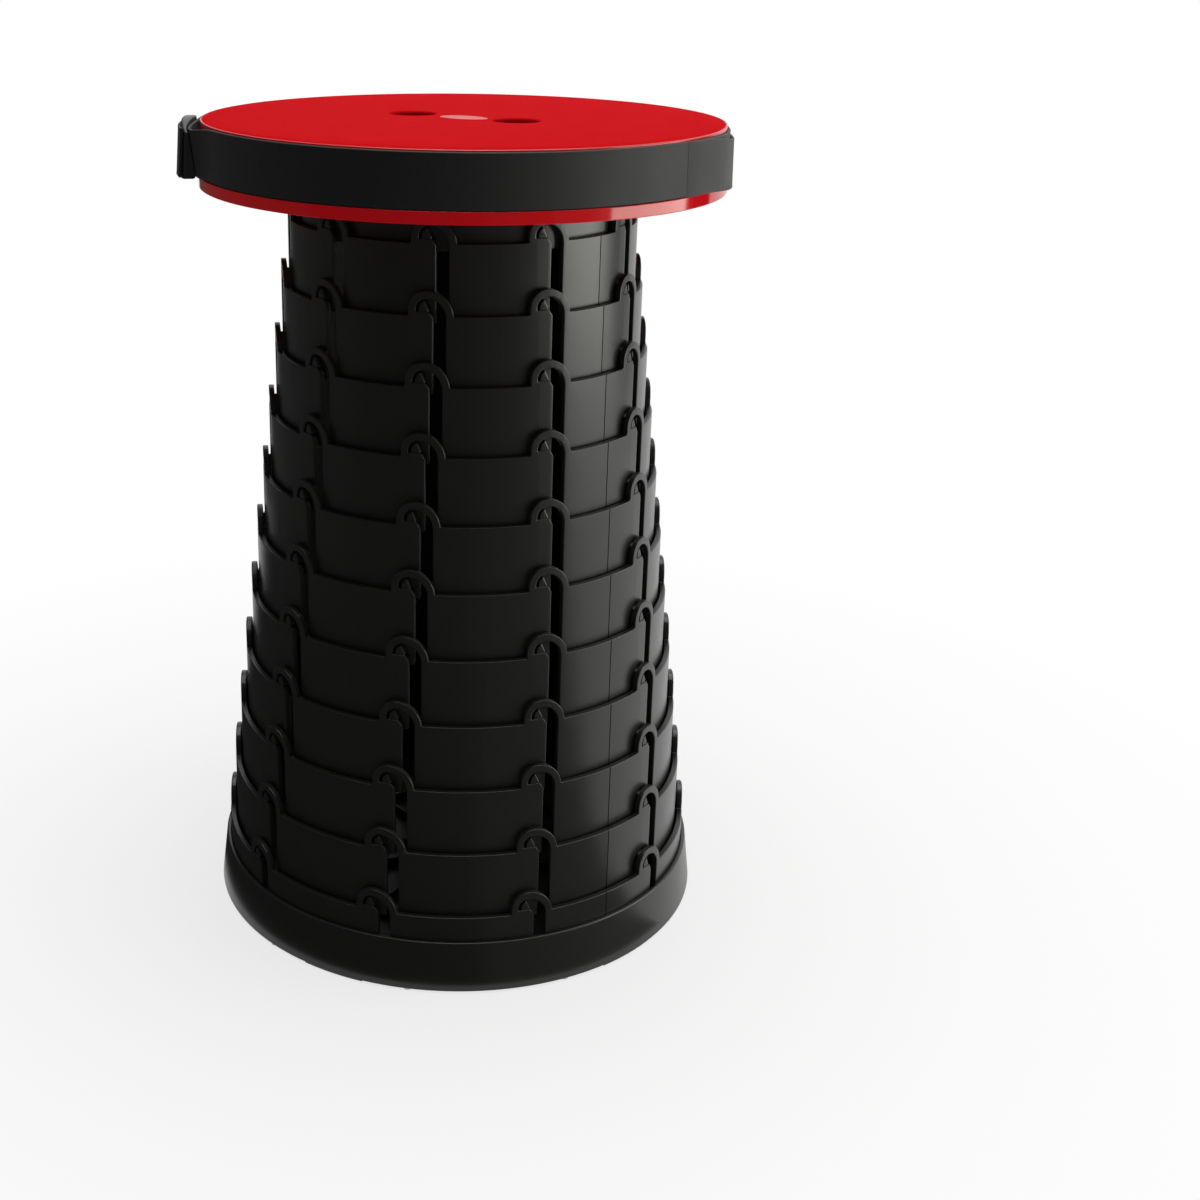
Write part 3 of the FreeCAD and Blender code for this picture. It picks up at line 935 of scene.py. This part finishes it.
def steel():
    colour = (0.45, 0.45, 0.46)
    material, tree, shader = node_material("zinc_steel", colour, roughness=0.35, specular=0.5)
    shader.inputs["Metallic"].default_value = 1.0
    add_grain(tree, shader, scale=1500, strength=0.1, depth=0.00005)
    return material


def dress_node(node, material):
    mesh = frame["nodes"][node].data
    mesh.materials.clear()
    mesh.materials.append(material)


def stage_object(name, made, material):
    mesh = bpy.data.meshes.new(name)
    made.to_mesh(mesh)
    made.free()
    mesh.materials.append(material)
    thing = bpy.data.objects.new(name, mesh)
    bpy.context.scene.collection.objects.link(thing)
    return thing


def background_rays(tree):
    """1 for the rays that show the background: camera, glossy and transmission rays."""
    rays = tree.nodes.new("ShaderNodeLightPath")
    last = rays.outputs["Is Camera Ray"]
    for kind in ("Is Glossy Ray", "Is Transmission Ray"):
        last = math_node(tree, "MAXIMUM", last, rays.outputs[kind])[0]
    return last


def floor():
    """White floor; its own shading, with the shadow, shows near the stool."""
    material = bpy.data.materials.new("floor")
    material.use_nodes = True
    tree = material.node_tree
    shader = tree.nodes["Principled BSDF"]
    shader.inputs["Base Color"].default_value = (0.9, 0.9, 0.9, 1)
    shader.inputs["Roughness"].default_value = 0.9
    shader.inputs["Specular IOR Level"].default_value = 0.0
    white = tree.nodes.new("ShaderNodeEmission")
    place = tree.nodes.new("ShaderNodeNewGeometry")
    distance = vector_node(tree, "LENGTH", place.outputs["Position"])["Value"]
    whiteness = spread(tree, distance, 0.72, 1.0, start=0.15, end=0.6)
    share = math_node(tree, "MULTIPLY", whiteness, background_rays(tree))[0]
    mix = tree.nodes.new("ShaderNodeMixShader")
    tree.links.new(share, mix.inputs[0])
    tree.links.new(shader.outputs[0], mix.inputs[1])
    tree.links.new(white.outputs[0], mix.inputs[2])
    tree.links.new(mix.outputs[0], tree.nodes["Material Output"].inputs["Surface"])
    made = bmesh.new()
    bmesh.ops.create_grid(made, x_segments=1, y_segments=1, size=40)
    stage_object("floor", made, material)


def reflection_screen(name, start, end, profile, glow):
    """Sheet that only the gloss of the stool sees, dark with a faint glow: a painted reflection.
    """
    material, _, shader = node_material(name, (0.02, 0.02, 0.02), 1.0, 0.0)
    # Painted glow: the sheet is no lamp, and only reflections in the stool show it.
    shader.inputs["Emission Color"].default_value = (1, 1, 1, 1)
    shader.inputs["Emission Strength"].default_value = glow
    made = bmesh.new()
    steps = 48
    rings = []
    for step in range(steps + 1):
        azimuth = start + (end - start) * step / steps
        rings.append([made.verts.new(at(azimuth, radius, height)) for radius, height in profile])
    for ring, after in zip(rings[:-1], rings[1:]):
        for side in range(len(profile) - 1):
            made.faces.new((ring[side], ring[side + 1], after[side + 1], after[side]))
    screen = stage_object(name, made, material)
    screen.visible_camera = False
    screen.visible_diffuse = False
    screen.visible_shadow = False
    screen.visible_transmission = False


def reflection_screens():
    """Sheets round the stool and mats on the floor, by azimuth, that only the stool's gloss sees:
    painted reflections, whose glow sets how bright each side reflects.

    Their profiles are in radius and height.
    """
    mat_height = 0.003
    wall = [(0.7, 0.004), (0.7, 0.5), (0.7, 2.0)]
    mat = [(0.147, mat_height), (0.7, mat_height)]
    far_wall = [(1.2, 0.02), (1.2, 0.5)]
    # The glow of each sheet is a painted reflection. It is darker at the front-left and brighter
    # towards the right. The last sheet is an unlit dark sheet in the reflections, at the back
    # right.
    reflection_screen("reflection_mat_left", start=-138, end=8, profile=mat, glow=0.015)
    reflection_screen("reflection_mat_right", start=8, end=58, profile=mat, glow=0.08)
    reflection_screen("reflection_screen_far_left", start=-150, end=-60, profile=wall, glow=0.06)
    reflection_screen("reflection_screen_left", start=-60, end=8, profile=wall, glow=0.02)
    reflection_screen("reflection_screen_middle", start=8, end=34, profile=wall, glow=0.06)
    reflection_screen("reflection_screen_middle_right", start=34, end=58, profile=wall, glow=0.13)
    reflection_screen("reflection_screen_right", start=104, end=124, profile=far_wall, glow=0.0)


def world():
    made = bpy.data.worlds.new("studio")
    bpy.context.scene.world = made
    made.use_nodes = True
    tree = made.node_tree
    background = tree.nodes["Background"]
    background.inputs["Color"].default_value = (1, 1, 1, 1)
    strength = spread(tree, background_rays(tree), 0.2, 1.0)
    tree.links.new(strength, background.inputs["Strength"])


def softbox(name, place, target, width, height, radiance, colour):
    data = bpy.data.lights.new(name, "AREA")
    data.shape = "RECTANGLE"
    data.size = width
    data.size_y = height
    data.energy = radiance * math.pi * width * height
    data.color = colour
    lamp = bpy.data.objects.new(name, data)
    bpy.context.scene.collection.objects.link(lamp)
    lamp.location = place
    lamp.visible_camera = False
    lamp.rotation_mode = "QUATERNION"
    lamp.rotation_quaternion = (Vector(target) - Vector(place)).to_track_quat("-Z", "Y")


def lights():
    softbox(
        "softbox_right",
        place=at(80, 1.45, 0.34),
        target=(0, 0, 0.34),
        width=1.3,
        height=0.62,
        radiance=4.1,
        colour=(0.99, 1.0, 0.92),
    )
    softbox(
        "softbox_top",
        place=(0.1, 0.1, 1.9),
        target=(0, 0, 0.3),
        width=1.3,
        height=1.3,
        radiance=4.0,
        colour=(1, 1, 1),
    )


def camera():
    data = bpy.data.cameras.new("camera")
    data.sensor_width = 36.0
    data.lens = focal_pixels * data.sensor_width / photo_size
    data.shift_x = (photo_size / 2 - axis_pixel[0]) / photo_size
    data.shift_y = (axis_pixel[1] - photo_size / 2) / photo_size
    data.clip_start = 0.05
    data.clip_end = 200
    eye = bpy.data.objects.new("camera", data)
    bpy.context.scene.collection.objects.link(eye)
    eye.location = (0, -camera_distance * MM, camera_height * MM)
    tilt = Matrix.Rotation(math.radians(90 - camera_tilt), 3, "X")
    roll = Matrix.Rotation(math.radians(camera_roll), 3, "Z")
    eye.rotation_euler = (tilt @ roll).to_euler()
    bpy.context.scene.camera = eye


def main():
    camera()
    black = section_plastic()
    section_pieces(black)
    inner_section_piece(black)
    foot_ring_piece(black)
    lip_outer = skirt_piece(seat_plastic("seat_plastic_polished", roughness=0.1, specular=0.5))
    dress_node("seat_lid", lid_plastic())
    inlay_piece(seat_plastic("seat_plastic_inlay", roughness=0.3, specular=0.12))
    dress_node("floor_plate", black)
    dress_node("foot_pads", rubber())
    steel_finish = steel()
    dress_node("foot_screws", steel_finish)
    dress_node("seat_screws", steel_finish)
    strap_pieces(webbing())
    slider_piece(slider_plastic(), lip_outer + strap_clearance)
    floor()
    reflection_screens()
    world()
    lights()


main()
bpy.context.scene.view_settings.view_transform = "Standard"
